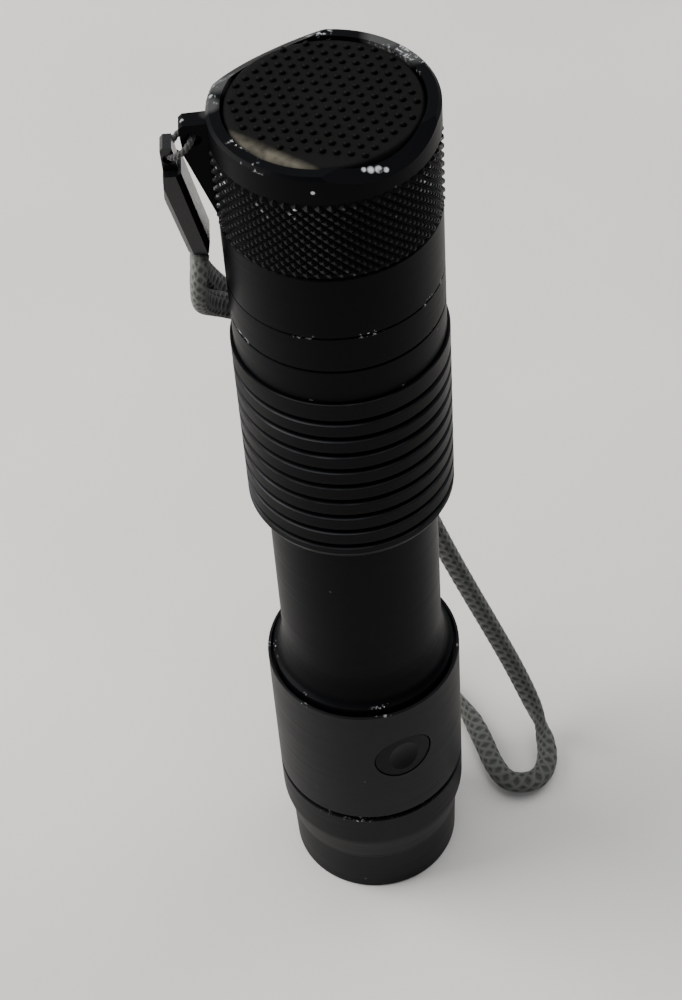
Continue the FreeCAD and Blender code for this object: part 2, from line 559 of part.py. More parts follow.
spots = [placed(p) for p in ROUTE]
edges, bends, length = [], [], 0.0
start = spots[0]
for i in range(1, len(spots) - 1):
    before, after = spots[i] - spots[i - 1], spots[i + 1] - spots[i]
    turn = before.getAngle(after)
    radius = 0.45 * min(before.Length, after.Length) / math.tan(turn / 2)
    reach = radius * math.tan(turn / 2)
    a = spots[i] - V(before).normalize() * reach
    b = spots[i] + V(after).normalize() * reach
    inward = (V(after).normalize() - V(before).normalize()).normalize()
    middle = spots[i] + inward * (radius / math.cos(turn / 2) - radius)
    edges.append(Part.LineSegment(start, a).toShape())
    edges.append(Part.Arc(a, middle, b).toShape())
    bends.append(round(radius, 1))
    start = b
edges.append(Part.LineSegment(start, spots[-1]).toShape())
spine = Part.Wire(edges)
thick = value("cord_diameter")
section = Part.Wire(Part.Circle(spots[0], spots[1] - spots[0], thick / 2).toShape())
cord = doc.addObject("Part::Feature", "wrist_cord")
cord.Shape = spine.makePipeShell([section], True, False)
cord.Placement = FreeCAD.Placement()
keep(cord)
expected = spine.Length * math.pi * thick ** 2 / 4
print("cord length", round(spine.Length, 1), "bend radii", bends)
print("cord volume", round(cord.Shape.Volume), "expected", round(expected))

# ---------------------------------------------------------------- checks and files
doc.recompute()
for thing in doc.Objects:
    if "Invalid" in thing.State or "Error" in thing.State:
        raise RuntimeError("%s is not valid" % thing.Name)
os.makedirs("parts", exist_ok=True)
for node in NODES:
    shape = node.Shape
    if shape.isNull() or not shape.isValid() or len(shape.Solids) != 1:
        raise RuntimeError("%s has a bad shape (%d solids)" % (node.Label, len(shape.Solids)))
for node in NODES:
    node.Shape.exportStep("parts/%s.step" % node.Label)
    box = node.Shape.BoundBox
    print("%-24s %8.0f mm3  z %7.2f %7.2f  r %6.2f" % (node.Label, node.Shape.Volume, box.ZMin, box.ZMax, box.XMax))
print(len(NODES), "pieces")
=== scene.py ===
import math
import random

import bmesh
import bpy
from mathutils import Matrix, Vector, noise


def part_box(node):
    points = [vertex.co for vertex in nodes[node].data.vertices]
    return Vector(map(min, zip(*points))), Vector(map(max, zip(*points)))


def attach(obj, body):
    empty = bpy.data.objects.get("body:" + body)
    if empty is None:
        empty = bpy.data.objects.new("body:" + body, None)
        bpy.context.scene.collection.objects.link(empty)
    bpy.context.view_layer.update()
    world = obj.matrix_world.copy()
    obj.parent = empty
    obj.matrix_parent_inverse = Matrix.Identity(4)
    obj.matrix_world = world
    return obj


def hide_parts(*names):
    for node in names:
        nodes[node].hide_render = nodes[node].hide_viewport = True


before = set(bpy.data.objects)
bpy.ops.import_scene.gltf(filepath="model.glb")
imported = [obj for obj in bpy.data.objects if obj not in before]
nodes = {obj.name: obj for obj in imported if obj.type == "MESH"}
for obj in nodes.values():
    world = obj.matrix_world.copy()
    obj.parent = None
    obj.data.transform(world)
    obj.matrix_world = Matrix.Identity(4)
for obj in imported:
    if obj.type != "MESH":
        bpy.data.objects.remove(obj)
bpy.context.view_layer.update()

# ---------------------------------------------------------------- where it is seen from
# The light stands on its front ring and is looked down on from in front and above, through a long
# lens held a little off level.
camera_distance, camera_height = 0.26086, 0.39805
camera_turn, camera_down, camera_tilt = math.radians(-0.448), math.radians(48.83), math.radians(-4.58)
ahead = Vector((math.sin(camera_turn) * math.cos(camera_down),
                math.cos(camera_turn) * math.cos(camera_down),
                -math.sin(camera_down)))
level = Vector((math.cos(camera_turn), -math.sin(camera_turn), 0.0))
above = level.cross(ahead)
across = level * math.cos(camera_tilt) + above * math.sin(camera_tilt)
upward = above * math.cos(camera_tilt) - level * math.sin(camera_tilt)
camera = bpy.data.objects.new("camera", bpy.data.cameras.new("camera"))
camera.data.lens = 82.8
camera.data.sensor_width = 36.0
camera.data.clip_start = 0.01
camera.matrix_world = Matrix.Translation((0.0, -camera_distance, camera_height)) @ Matrix(
    (across, upward, -ahead)).transposed().to_4x4()
bpy.context.scene.collection.objects.link(camera)
bpy.context.scene.camera = camera

# ---------------------------------------------------------------- table and light
# A pale matte cloth-grey table, a big soft window to the upper left, a weaker one to the right and
# a room that is darker on the near side, so the dark metal takes a soft streak down its left side.


def add(tree, kind, inputs=None, **settings):
    """A shader node; inputs are numbers, colours or other nodes' sockets."""
    made = tree.nodes.new("ShaderNode" + kind)
    for key, setting in settings.items():
        setattr(made, key, setting)
    for key, feed in (inputs or {}).items():
        if isinstance(feed, bpy.types.NodeSocket):
            tree.links.new(feed, made.inputs[key])
        else:
            made.inputs[key].default_value = feed
    return made


def sum_of(tree, operation, first, second=0.0):
    made = add(tree, "Math", {0: first, 1: second}, operation=operation)
    return made.outputs[0]


def ramp(tree, feed, low, high, out_low=0.0, out_high=1.0):
    """Feed, stretched from low..high to out_low..out_high and held inside them."""
    made = add(tree, "MapRange", {"Value": feed, "From Min": low, "From Max": high, "To Min": out_low,
                                  "To Max": out_high})
    return made.outputs[0]


def blend_colours(tree, amount, first, second):
    made = add(tree, "Mix", {0: amount, 6: first, 7: second}, data_type="RGBA")
    return made.outputs[2]


def speckle(tree, place, scale, detail=4.0, rough=0.55, stretch=None):
    if stretch:
        place = add(tree, "Mapping", {"Vector": place, "Scale": stretch}).outputs[0]
    return add(tree, "TexNoise", {"Vector": place, "Scale": scale, "Detail": detail,
                                  "Roughness": rough}).outputs[0]


def material_of(name):
    made = bpy.data.materials.new(name)
    made.use_nodes = True
    tree = made.node_tree
    shader = tree.nodes["Principled BSDF"]
    place = add(tree, "TexCoord").outputs["Object"]
    return made, tree, shader, place


def roughen(tree, shader, height, strength, distance):
    """Bump the surface by the height field; distance in metres."""
    bump = add(tree, "Bump", {"Height": height, "Strength": strength, "Distance": distance})
    tree.links.new(bump.outputs[0], shader.inputs["Normal"])
    return bump


def colour_from(tree, shader, socket):
    tree.links.new(socket, shader.inputs["Base Color"])


def tones(tree, shader, feed, low, high, first, second):
    """Base colour that goes from first to second as the feed goes from low to high."""
    colour_from(tree, shader, blend_colours(tree, ramp(tree, feed, low, high), first, second))


def gloss_from(tree, shader, socket):
    tree.links.new(socket, shader.inputs["Roughness"])


def paint(node_name, material):
    """Give a carried-over piece its finish."""
    for slot in nodes[node_name].material_slots:
        slot.material = material


def finish_mesh(name, shape, material, body, smooth=True):
    """Close a bmesh into an object that rides on a body and has one finish."""
    mesh = bpy.data.meshes.new(name)
    shape.to_mesh(mesh)
    shape.free()
    if smooth:
        mesh.shade_smooth()
    mesh.materials.append(material)
    piece = bpy.data.objects.new(name, mesh)
    bpy.context.scene.collection.objects.link(piece)
    if body:
        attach(piece, body)
    return piece


table_paint, tree, shader, place = material_of("pale_cloth")
weave = speckle(tree, place, 900.0, 3.0)
# Broad painted shade and light stand in for the cloth's folds on the flat table top.
fold_shade_paint = speckle(tree, place, 9.0, 2.0)
tones(tree, shader, fold_shade_paint, 0.3, 0.7, (0.57, 0.555, 0.532, 1), (0.64, 0.624, 0.600, 1))
shader.inputs["Roughness"].default_value = 0.95
shader.inputs["Specular IOR Level"].default_value = 0.2
roughen(tree, shader, weave, 0.25, 0.0002)
top = bmesh.new()
bmesh.ops.create_grid(top, x_segments=2, y_segments=2, size=2.5)
table = finish_mesh("table", top, table_paint, None)

world = bpy.data.worlds.new("room")
bpy.context.scene.world = world
world.use_nodes = True
tree = world.node_tree
looking = add(tree, "TexCoord").outputs["Generated"]
towards_window = add(tree, "VectorMath", {0: looking, 1: (-0.62, 0.25, 0.74)},
                     operation="DOT_PRODUCT").outputs["Value"]
tree.links.new(ramp(tree, towards_window, -0.5, 1.0, 0.08, 0.9),
               tree.nodes["Background"].inputs["Strength"])
tree.nodes["Background"].inputs["Color"].default_value = (0.93, 0.96, 1.0, 1)

for name, spot, aim, size, power, tint in (
        ("window", (-0.85, 0.12, 0.75), (0.0, 0.0, 0.10), 0.8, 18.0, (1.0, 0.985, 0.96)),
        ("far_wall", (0.75, 0.55, 0.65), (0.0, 0.0, 0.08), 0.7, 3.6, (0.96, 0.98, 1.0)),
        ("ceiling", (0.05, 0.2, 1.3), (0.0, 0.0, 0.0), 1.2, 9.5, (1.0, 0.995, 0.98))):
    light = bpy.data.lights.new(name, "AREA")
    light.energy, light.color, light.size = power, tint, size
    lamp = bpy.data.objects.new(name, light)
    lamp.location = spot
    lamp.rotation_euler = (Vector(aim) - Vector(spot)).to_track_quat("-Z", "Y").to_euler()
    bpy.context.scene.collection.objects.link(lamp)

# ---------------------------------------------------------------- wrist cord
# A flat braided nylon tape, 4.2 mm wide and 2.5 mm thick, in one loop. Both ends are held in the
# foot of the plastic clip; the loop falls behind the tube and folds back on the table beside the head.
ROUTE = [
    (-20.3, -2.2, 161.5), (-21.4, -2.0, 154.5), (-21.7, 2.3, 147.0), (-19.0, 10.8, 138.0),
    (-12.5, 18.6, 127.5), (-4.0, 23.6, 113.0), (4.5, 25.4, 95.0), (11.0, 25.2, 75.0),
    (16.0, 24.8, 58.5), (21.2, 24.2, 43.5), (26.2, 23.4, 30.0), (30.6, 22.4, 18.0), (34.0, 20.4, 8.4),
    (36.2, 15.8, 3.4), (36.4, 9.4, 2.7), (33.6, 4.4, 2.7), (27.6, 4.4, 2.7), (24.9, 9.4, 2.7),
    (23.4, 15.6, 2.7), (20.4, 25.0, 2.7), (14.5, 33.0, 3.2), (6.0, 36.0, 9.0), (1.0, 34.6, 22.0),
    (-2.4, 32.4, 40.0),
    (-4.6, 30.6, 61.0), (-6.4, 29.0, 82.0), (-8.6, 27.2, 101.0), (-12.4, 23.8, 118.0),
    (-17.2, 17.6, 132.0), (-20.6, 10.0, 144.5), (-21.6, 3.8, 153.8), (-20.3, 2.15, 161.4)]
cord_width, cord_thick = 0.0042, 0.0025
line = bpy.data.curves.new("cord_line", "CURVE")
line.dimensions = "3D"
line.resolution_u = 24
spline = line.splines.new("NURBS")
spline.points.add(len(ROUTE) - 1)
for point, (x, y, z) in zip(spline.points, ROUTE):
    point.co = (x / 1000, y / 1000, z / 1000, 1.0)
spline.order_u = 3
spline.use_endpoint_u = True
line_object = bpy.data.objects.new("cord_line", line)
bpy.context.scene.collection.objects.link(line_object)
bpy.context.view_layer.update()
drawn = bpy.data.meshes.new_from_object(line_object)
smooth_line = [v.co.copy() for v in drawn.vertices]
bpy.data.objects.remove(line_object)


def evenly(points, step):
    """The same line, walked in equal steps."""
    walked, left = [points[0].copy()], step
    for before, after in zip(points, points[1:]):
        run = (after - before).length
        at = left
        while at <= run:
            walked.append(before.lerp(after, at / run))
            at += step
        left = at - run
    return walked


cord_step = 0.00036
cord_path = evenly(smooth_line, cord_step)
fold_centre = Vector((0.0305, 0.0105, 0.0))
braid_pitch = 0.0022


def faces_away_from(point, travelled):
    """The middle that the tape's flat side turns its back on: the tube's axis high up, a place
    just behind the tape lower down, and the middle of the fold on the table."""
    near_fold = max(0.0, 1.0 - abs(travelled - 0.484) / 0.115)
    near_fold = near_fold * near_fold * (3 - 2 * near_fold)
    low_down = min(max((0.130 - point.z) / 0.040, 0.0), 1.0)
    on_axis = Vector((0.0, 0.0, point.z))
    seen_flat = Vector((point.x - 0.010, point.y - 0.020, point.z))
    middle = seen_flat * low_down + on_axis * (1 - low_down)
    return middle.lerp(Vector((fold_centre.x, fold_centre.y, point.z - 0.014)), near_fold)


around, along = 36, len(cord_path) - 1
tape = bmesh.new()
bmesh.ops.create_grid(tape, x_segments=around, y_segments=along, size=0.5)
strand = tape.verts.layers.float.new("strand")
for vert in tape.verts:
    turn = (vert.co.x + 0.5) * 2 * math.pi
    step = round((vert.co.y + 0.5) * along)
    here = cord_path[step]
    ahead_of = (cord_path[min(step + 1, along)] - cord_path[max(step - 1, 0)]).normalized()
    away = here - faces_away_from(here, step / along)
    away = (away - ahead_of * away.dot(ahead_of)).normalized()
    flat = ahead_of.cross(away)
    bulge_x, bulge_y = math.cos(turn), math.sin(turn)
    side = math.copysign(abs(bulge_x) ** 0.62, bulge_x) * cord_width / 2
    face = math.copysign(abs(bulge_y) ** 0.75, bulge_y) * cord_thick / 2
    walked = step * cord_step / braid_pitch * 2 * math.pi
    lift = max(math.sin(walked + 6 * turn), math.sin(walked - 6 * turn))
    wisp = noise.noise(here * 900) * 0.5
    vert[strand] = 0.5 + 0.5 * lift + 0.18 * wisp
    grow = 1.0 + 0.055 * (lift - 0.8) + 0.02 * wisp
    vert.co = here + flat * side * grow + away * face * (1.0 + 0.16 * (lift - 0.6))
bmesh.ops.remove_doubles(tape, verts=tape.verts, dist=0.00001)
end_loops = [edge for edge in tape.edges if edge.is_boundary]
bmesh.ops.holes_fill(tape, edges=end_loops, sides=0)
bmesh.ops.recalc_face_normals(tape, faces=tape.faces)

braid, tree, shader, place = material_of("grey_braid")
# The strand pattern paints the braid darker in the dips between strands and lighter on their crests:
# painted shade and painted highlight over the small relief of the yarn.
strand_relief_shade = add(tree, "Attribute", attribute_name="strand").outputs["Fac"]
paler_patches = speckle(tree, place, 60.0, 3.0)
fuzz = speckle(tree, place, 4200.0, 3.0, 0.7)
yarn = blend_colours(tree, ramp(tree, strand_relief_shade, 0.45, 1.0), (0.022, 0.023, 0.021, 1),
                     (0.080, 0.083, 0.074, 1))
pale = blend_colours(tree, ramp(tree, strand_relief_shade, 0.5, 1.0), (0.030, 0.031, 0.028, 1),
                     (0.120, 0.122, 0.110, 1))
height = add(tree, "SeparateXYZ", {"Vector": place}).outputs
# The tape turns paler in patches towards the upper end of the loop, by height alone.
paler_near_top = sum_of(tree, "MULTIPLY", ramp(tree, height["Z"], 0.152, 0.160), ramp(tree, paler_patches, 0.35, 0.55))
tone = blend_colours(tree, paler_near_top, yarn, pale)
colour_from(tree, shader, blend_colours(tree, ramp(tree, fuzz, 0.35, 0.75, 0.0, 0.35), tone,
                                        (0.13, 0.132, 0.12, 1)))
shader.inputs["Roughness"].default_value = 0.92
shader.inputs["Sheen Weight"].default_value = 0.25
shader.inputs["Sheen Roughness"].default_value = 0.5
shader.inputs["Specular IOR Level"].default_value = 0.25
roughen(tree, shader, fuzz, 0.5, 0.0001)
cord = finish_mesh("braided_tape", tape, braid, "tailcap")
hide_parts("wrist_cord")

# ---------------------------------------------------------------- string and clip
# A thin twisted nylon string goes through the ear of the tail cap and through the clip's eye.
# The clip is a small two-part snap moulding in glossy black plastic.
eye = Vector((-0.0192, 0.0, 0.1829))
lug = Vector((-0.0232, 0.0, 0.1796))
hang = (lug - eye).normalized()
loop_middle, loop_radius = (eye + lug) / 2, (lug - eye).length / 2
string_nylon, tree, shader, place = material_of("twisted_nylon")
fibres = speckle(tree, place, 5000.0, 3.0)
tones(tree, shader, fibres, 0.35, 0.7, (0.008, 0.008, 0.008, 1), (0.045, 0.044, 0.041, 1))
shader.inputs["Roughness"].default_value = 0.75
shader.inputs["Sheen Weight"].default_value = 0.2
roughen(tree, shader, fibres, 0.4, 0.0001)
for number in range(2):
    twisted = bpy.data.curves.new("string_strand", "CURVE")
    twisted.dimensions = "3D"
    twisted.resolution_u, twisted.bevel_depth, twisted.bevel_resolution = 3, 0.00030, 3
    ring = twisted.splines.new("NURBS")
    ring.points.add(95)
    for step, point in enumerate(ring.points):
        turn = step / 96 * 2 * math.pi
        out = hang * math.cos(turn) + Vector((0, 1, 0)) * math.sin(turn)
        over = hang.cross(Vector((0, 1, 0)))
        twist = 11 * turn + number * math.pi
        point.co = (*(loop_middle + out * (loop_radius + 0.00024 * math.cos(twist))
                      + over * 0.00024 * math.sin(twist)), 1.0)
    ring.order_u = 4
    ring.use_cyclic_u = True
    strand_object = bpy.data.objects.new("string_strand_%d" % (number + 1), twisted)
    bpy.context.scene.collection.objects.link(strand_object)
    bpy.context.view_layer.update()
    solid = bpy.data.meshes.new_from_object(strand_object)
    bpy.data.objects.remove(strand_object)
    shape = bmesh.new()
    shape.from_mesh(solid)
    finish_mesh("string_strand_%d" % (number + 1), shape, string_nylon, "tailcap")
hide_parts("lanyard_string")

clip_gloss, tree, shader, place = material_of("clip_gloss")
haze = speckle(tree, place, 700.0, 5.0)
scratch = speckle(tree, place, 500.0, 4.0, 0.6, (6.0, 6.0, 0.7))
tones(tree, shader, haze, 0.3, 0.8, (0.0016, 0.0016, 0.0022, 1), (0.0045, 0.0045, 0.0056, 1))
gloss_from(tree, shader, ramp(tree, scratch, 0.3, 0.75, 0.16, 0.38))
shader.inputs["Specular IOR Level"].default_value = 0.25
shader.inputs["Coat Weight"].default_value = 0.15
shader.inputs["Coat Roughness"].default_value = 0.12
roughen(tree, shader, scratch, 0.12, 0.0001)
for piece_name in ("lanyard_clip_lower", "lanyard_clip_upper"):
    paint(piece_name, clip_gloss)

# ---------------------------------------------------------------- anodised shells
# Front ring, head, tube and tail cap are turned from bar, blasted and black anodised. The coating
# is satin, with bare alloy showing in chips on the sharp edges and where the rims rub.


def near_rings(tree, place, heights, width):
    """1 at the given heights up the axis, falling to 0 a width away."""
    along_axis = add(tree, "SeparateXYZ", {"Vector": place}).outputs["Z"]
    nearest = None
    for ring_height in heights:
        gap = sum_of(tree, "ABSOLUTE", sum_of(tree, "SUBTRACT", along_axis, ring_height))
        nearest = gap if nearest is None else sum_of(tree, "MINIMUM", nearest, gap)
    return ramp(tree, nearest, 0.0, width, 1.0, 0.0)


def near_spots(tree, place, spots):
    """1 at each (place, radius), falling to 0 at its radius."""
    total = None
    for spot, radius in spots:
        gap = add(tree, "VectorMath", {0: place, 1: spot}, operation="DISTANCE").outputs["Value"]
        patch = ramp(tree, gap, radius * 0.55, radius, 1.0, 0.0)
        total = patch if total is None else sum_of(tree, "MAXIMUM", total, patch)
    return total


def anodised(name, tone, gloss, shine, chip_heights, rubbed=(), greyed=()):
    made, tree, shader, place = material_of(name)
    cloud = speckle(tree, place, 35.0, 3.0)
    blast = speckle(tree, place, 6500.0, 2.0)
    turning = speckle(tree, place, 300.0, 3.0, 0.5, (0.15, 0.15, 9.0))
    dark = tuple(0.8 * level_ for level_ in tone) + (1,)
    coat = blend_colours(tree, ramp(tree, cloud, 0.3, 0.7), dark, tuple(tone) + (1,))
    patches = ramp(tree, speckle(tree, place, 160.0, 2.0), 0.56, 0.64)
    chips = ramp(tree, speckle(tree, place, 1500.0, 3.0), 0.56, 0.62)
    worn = sum_of(tree, "MULTIPLY", near_rings(tree, place, chip_heights, 0.00035),
                  sum_of(tree, "MULTIPLY", patches, chips))
    dots = ramp(tree, speckle(tree, place, 520.0, 2.0), 0.765, 0.79)
    worn = sum_of(tree, "MAXIMUM", worn, sum_of(tree, "MULTIPLY", dots, 0.12))
    if rubbed:
        ragged = ramp(tree, speckle(tree, place, 700.0, 4.0), 0.34, 0.48)
        worn = sum_of(tree, "MAXIMUM", worn, sum_of(tree, "MULTIPLY", near_spots(tree, place, rubbed),
                                                    ragged))
    if greyed:
        coat = blend_colours(tree, sum_of(tree, "MULTIPLY", near_spots(tree, place, greyed), 0.75), coat,
                             (0.060, 0.061, 0.060, 1))
    colour_from(tree, shader, blend_colours(tree, worn, coat, (0.50, 0.51, 0.53, 1)))
    tree.links.new(worn, shader.inputs["Metallic"])
    gloss_from(tree, shader, ramp(tree, turning, 0.3, 0.7, gloss - 0.03, gloss + 0.05))
    shader.inputs["Specular IOR Level"].default_value = shine
    roughen(tree, shader, sum_of(tree, "ADD", blast, sum_of(tree, "MULTIPLY", turning, 0.4)), 0.16,
            0.00003)
    return made


paint("bezel", anodised("anodised_ring", (0.0042, 0.0044, 0.0050), 0.48, 0.08, (0.0262, 0.0003)))
paint("head_shell", anodised("anodised_head", (0.0048, 0.0050, 0.0058), 0.45, 0.09, (0.0595,)))
paint("battery_tube", anodised("anodised_tube", (0.0018, 0.0020, 0.0026), 0.40, 0.035,
                               (0.0609, 0.1419, 0.1485, 0.1488, 0.1554)))
cap_metal = anodised(
    "anodised_cap", (0.0016, 0.0018, 0.0024), 0.38, 0.035, (0.1559, 0.1673, 0.1821, 0.1865, 0.1870),
    rubbed=(((0.0050, -0.0146, 0.1862), 0.0005), ((0.0060, -0.0145, 0.1860), 0.0007),
            ((0.0071, -0.0142, 0.1857), 0.0007), ((0.0081, -0.0140, 0.1853), 0.0005),
            ((-0.0024, -0.0168, 0.1845), 0.0004), ((-0.0206, 0.0, 0.1852), 0.0004)),
    greyed=(((0.0100, 0.0140, 0.1871), 0.0042), ((0.0140, 0.0100, 0.1871), 0.0035),
            ((-0.0155, 0.0060, 0.1871), 0.0030), ((-0.0168, 0.0010, 0.1871), 0.0022)))
paint("tailcap_shell", cap_metal)

# ---------------------------------------------------------------- knurling
# The grip band of the tail cap is cut with two crossing spirals, which leaves rows of small
# diamonds with flat tips. The tips have lost their coating where the hand rubs.
knurl_low, knurl_high, knurl_root, knurl_tip = 0.1675, 0.1819, 0.01650, 0.01722
diamonds_round, diamond_rows = 62, 9
diamond_wide = 2 * math.pi * knurl_tip / diamonds_round
diamond_tall = (knurl_high - knurl_low) / (diamond_rows - 0.5)
knurl = bmesh.new()
squash = Matrix.Diagonal((1.0, diamond_wide / diamond_tall, 1.0, 1.0))
for row in range(2 * diamond_rows - 2):
    for number in range(diamonds_round):
        turn = (number + 0.5 * (row % 2)) / diamonds_round * 2 * math.pi
        height_up = knurl_low + diamond_tall * (0.5 + row / 2)
        middle_reach = (knurl_root + knurl_tip) / 2
        stand = (Matrix.Rotation(turn, 4, "Z") @ Matrix.Translation((middle_reach, 0, height_up))
                 @ Matrix.Rotation(math.pi / 2, 4, "Y") @ squash)
        bmesh.ops.create_cone(knurl, cap_ends=True, segments=4, radius1=diamond_tall * 0.56,
                              radius2=diamond_tall * 0.14, depth=knurl_tip - knurl_root, matrix=stand)
knurl_metal, tree, shader, place = material_of("knurled_metal")
parts = add(tree, "SeparateXYZ", {"Vector": place}).outputs
reach = sum_of(tree, "SQRT", sum_of(tree, "ADD", sum_of(tree, "MULTIPLY", parts["X"], parts["X"]),
                                    sum_of(tree, "MULTIPLY", parts["Y"], parts["Y"])))
at_tip = ramp(tree, reach, 0.01712, 0.01720)
# Darker and a little warmer towards the root between the diamonds.
toward_root = ramp(tree, reach, 0.01655, 0.0169, 1.0, 0.0)
rub = ramp(tree, speckle(tree, place, 85.0, 3.0), 0.55, 0.66)
glint = ramp(tree, speckle(tree, place, 900.0, 1.0), 0.50, 0.60)
bare = sum_of(tree, "MULTIPLY", at_tip, sum_of(tree, "MULTIPLY", rub, glint))
coat = blend_colours(tree, toward_root, (0.0035, 0.0036, 0.0042, 1), (0.0024, 0.0023, 0.0021, 1))
colour_from(tree, shader, blend_colours(tree, bare, coat, (0.80, 0.79, 0.76, 1)))
tree.links.new(bare, shader.inputs["Metallic"])
gloss_from(tree, shader, ramp(tree, speckle(tree, place, 800.0), 0.3, 0.7, 0.32, 0.46))
shader.inputs["Specular IOR Level"].default_value = 0.12
roughen(tree, shader, speckle(tree, place, 5000.0), 0.2, 0.00004)
finish_mesh("knurl_diamonds", knurl, knurl_metal, "tailcap", smooth=False)

# ---------------------------------------------------------------- studded tail pad
# A moulded rubber cap over the tail switch, slightly domed, with a field of small round studs for
# the thumb. Grey-brown dust sits between the studs and on its side wall.
pad_low, pad_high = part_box("tail_pad")
pad_radius = pad_high.x
dome_rise = 0.0004
pad_top = pad_high.z - dome_rise
pad = bmesh.new()
bmesh.ops.create_circle(pad, cap_ends=False, segments=96, radius=pad_radius,
                        matrix=Matrix.Translation((0, 0, pad_low.z)))
edge_loop = pad.edges[:]
for radius, height_up in ((pad_radius, pad_top - 0.0012), (pad_radius - 0.00005, pad_top - 0.0006),
                          (pad_radius - 0.0002, pad_top - 0.00025),
                          (pad_radius - 0.0006, pad_top - 0.00005),
                          (pad_radius - 0.0016, pad_top + 0.00004), (pad_radius * 0.6, pad_top + 0.0002),
                          (pad_radius * 0.3, pad_top + 0.85 * dome_rise), (0.0, pad_top + dome_rise)):
    grown = bmesh.ops.extrude_edge_only(pad, edges=edge_loop)["geom"]
    edge_loop = [item for item in grown if isinstance(item, bmesh.types.BMEdge) and item.is_boundary]
    for vert in {v for edge in edge_loop for v in edge.verts}:
        flat_out = Vector((vert.co.x, vert.co.y, 0)).normalized()
        vert.co = flat_out * max(radius, 0.00001) + Vector((0, 0, height_up))
bmesh.ops.remove_doubles(pad, verts=pad.verts, dist=0.00003)
bmesh.ops.holes_fill(pad, edges=[edge for edge in pad.edges if edge.is_boundary], sides=0)
bmesh.ops.recalc_face_normals(pad, faces=pad.faces)
stud_pitch, stud_radius, stud_tall = 0.00205, 0.00052, 0.00062
grid_turn = math.radians(-14.0)
random.seed(7)
for row in range(-8, 9):
    for column in range(-8, 9):
        flat_x = (column + 0.5 * (row % 2)) * stud_pitch
        flat_y = row * stud_pitch * 0.88
        x = flat_x * math.cos(grid_turn) - flat_y * math.sin(grid_turn)
        y = flat_x * math.sin(grid_turn) + flat_y * math.cos(grid_turn)
        out = math.hypot(x, y)
        to_front_left = (-0.62 * x - 0.78 * y) / max(out, 0.0001)
        bare_edge = 0.0009 + 0.0036 * max(0.0, to_front_left - 0.55)
        if out > pad_radius - bare_edge:
            continue
        base = pad_top + dome_rise * (1 - (out / pad_radius) ** 2) - 0.00012
        size_by = 1.0 + random.uniform(-0.06, 0.06)
        stud = bmesh.ops.create_cone(pad, cap_ends=True, segments=12,
                                     radius1=stud_radius * 1.15 * size_by,
                                     radius2=stud_radius * 0.62, depth=stud_tall,
                                     matrix=Matrix.Translation((x, y, base + stud_tall / 2)))
        rim = [edge for edge in {e for v in stud["verts"] for e in v.link_edges}
               if all(v.co.z > base + stud_tall * 0.9 for v in edge.verts)]
        bmesh.ops.bevel(pad, geom=rim, offset=stud_radius * 0.34, offset_type="OFFSET", segments=3,
                        profile=0.5, affect="EDGES", material=-1)

pad_rubber, tree, shader, place = material_of("dusty_rubber")
parts = add(tree, "SeparateXYZ", {"Vector": place}).outputs
flat_reach = sum_of(tree, "SQRT", sum_of(tree, "ADD", sum_of(tree, "MULTIPLY", parts["X"], parts["X"]),
                                         sum_of(tree, "MULTIPLY", parts["Y"], parts["Y"])))
floor_here = sum_of(tree, "SUBTRACT", pad_top + dome_rise, sum_of(
    tree, "MULTIPLY", sum_of(tree, "MULTIPLY", flat_reach, flat_reach), dome_rise / pad_radius ** 2))
above_floor = sum_of(tree, "SUBTRACT", parts["Z"], floor_here)
between = ramp(tree, above_floor, 0.00002, 0.00028, 1.0, 0.0)
blotch = ramp(tree, speckle(tree, place, 140.0, 4.0), 0.32, 0.62, 0.35, 1.0)
grit = ramp(tree, speckle(tree, place, 2600.0, 4.0), 0.40, 0.62, 0.3, 1.0)
dusty = sum_of(tree, "MULTIPLY", between, sum_of(tree, "MULTIPLY", blotch, grit))
wall_dust = sum_of(tree, "MULTIPLY", ramp(tree, above_floor, -0.0035, -0.0007, 1.0, 0.0),
                   ramp(tree, speckle(tree, place, 90.0, 3.0), 0.38, 0.52))
near_left = add(tree, "VectorMath", {0: place, 1: (-0.62, -0.78, 0.0)},
                operation="DOT_PRODUCT").outputs["Value"]
wall_dust = sum_of(tree, "MULTIPLY", wall_dust, ramp(tree, near_left, 0.006, 0.012, 0.12, 1.0))
tone = blend_colours(tree, sum_of(tree, "MULTIPLY", dusty, 0.6), (0.0008, 0.0008, 0.0009, 1),
                     (0.0085, 0.0078, 0.0066, 1))
shelf_dust = sum_of(tree, "MULTIPLY", ramp(tree, near_left, 0.0118, 0.0132),
                    ramp(tree, speckle(tree, place, 260.0, 4.0), 0.30, 0.60))
wall_dust = sum_of(tree, "MAXIMUM", wall_dust, sum_of(tree, "MULTIPLY", shelf_dust, 0.35))
tone = blend_colours(tree, sum_of(tree, "MULTIPLY", wall_dust, 0.9), tone, (0.26, 0.235, 0.18, 1))
colour_from(tree, shader, tone)
gloss_from(tree, shader, ramp(tree, dusty, 0.0, 1.0, 0.50, 0.9))
shader.inputs["Specular IOR Level"].default_value = 0.07
roughen(tree, shader, speckle(tree, place, 3200.0, 4.0), 0.35, 0.00008)
studded = finish_mesh("studded_pad", pad, pad_rubber, "tail_button")
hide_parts("tail_pad")

# ---------------------------------------------------------------- ribbed grip
# A moulded rubber sleeve pushed over the tube, with ten wide lands between narrow grooves. The
# lands vary a little in gloss, their edges carry a thin painted highlight line and the grooves are
# painted darker as shade.
grip_rubber, tree, shader, place = material_of("ribbed_rubber")
parts = add(tree, "SeparateXYZ", {"Vector": place}).outputs
reach = sum_of(tree, "SQRT", sum_of(tree, "ADD", sum_of(tree, "MULTIPLY", parts["X"], parts["X"]),
                                    sum_of(tree, "MULTIPLY", parts["Y"], parts["Y"])))
